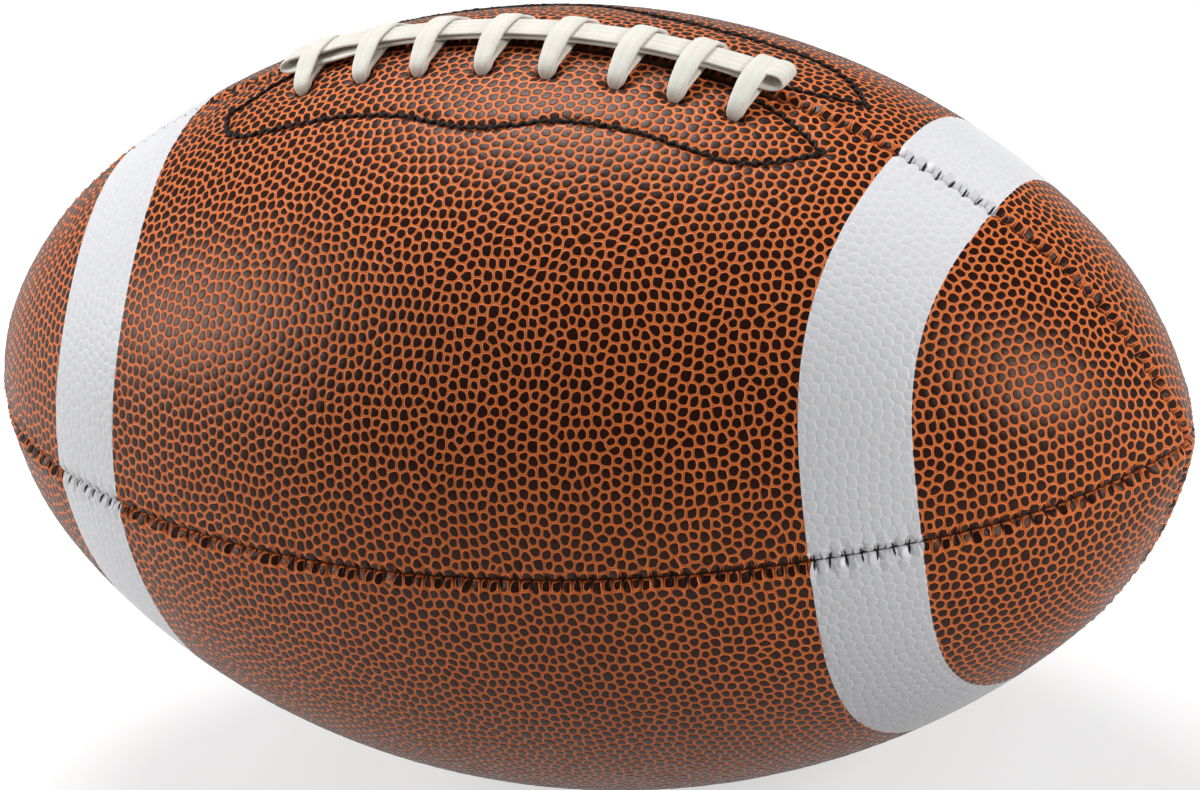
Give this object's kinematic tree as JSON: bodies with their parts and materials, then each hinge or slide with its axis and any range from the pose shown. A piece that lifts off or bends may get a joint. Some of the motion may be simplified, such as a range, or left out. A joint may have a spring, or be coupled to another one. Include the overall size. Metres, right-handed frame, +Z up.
{
  "type": "american football",
  "caption": "Pointed oval ball with pebbled brown panels, white end stripes, raised white lacing over a slit, and an inflated bladder with a needle valve.",
  "frame": {"origin": "lowest point of the belly, under the middle of the ball", "axes": "+X along the long axis, +Z up through the lacing, -Y towards the panel the picture shows"},
  "size_m": [0.2814, 0.171, 0.1763],
  "materials": {
    "cover": "pebbled, satin",
    "stripe": "pebbled, satin white coat",
    "lining": "woven cotton",
    "backing": "coated woven fabric",
    "lace": "tight flat weave",
    "thread": "waxed twisted thread",
    "bladder": "matt",
    "valve": "matt"
  },
  "bodies": {
    "root": {"bladder": "bladder", "cover_panel_front_lower": "cover", "cover_panel_front_upper": "cover", "cover_panel_rear_lower": "cover", "cover_panel_rear_upper": "cover", "lace": "lace", "lace_patch_front": "backing", "lace_patch_rear": "backing", "lace_tongue": "backing", "panel_lining_front_lower": "lining", "panel_lining_front_upper": "lining", "panel_lining_rear_lower": "lining", "panel_lining_rear_upper": "lining", "patch_stitching_front": "thread", "patch_stitching_rear": "thread", "seam_thread_bottom": "thread", "seam_thread_front": "thread", "seam_thread_rear": "thread", "seam_thread_top_left": "thread", "seam_thread_top_right": "thread", "stripe_left_front_lower": "stripe", "stripe_left_front_upper": "stripe", "stripe_left_rear_lower": "stripe", "stripe_left_rear_upper": "stripe", "stripe_right_front_lower": "stripe", "stripe_right_front_upper": "stripe", "stripe_right_rear_lower": "stripe", "stripe_right_rear_upper": "stripe", "valve_body": "valve", "valve_plug": "valve"}
  },
  "joints": []
}
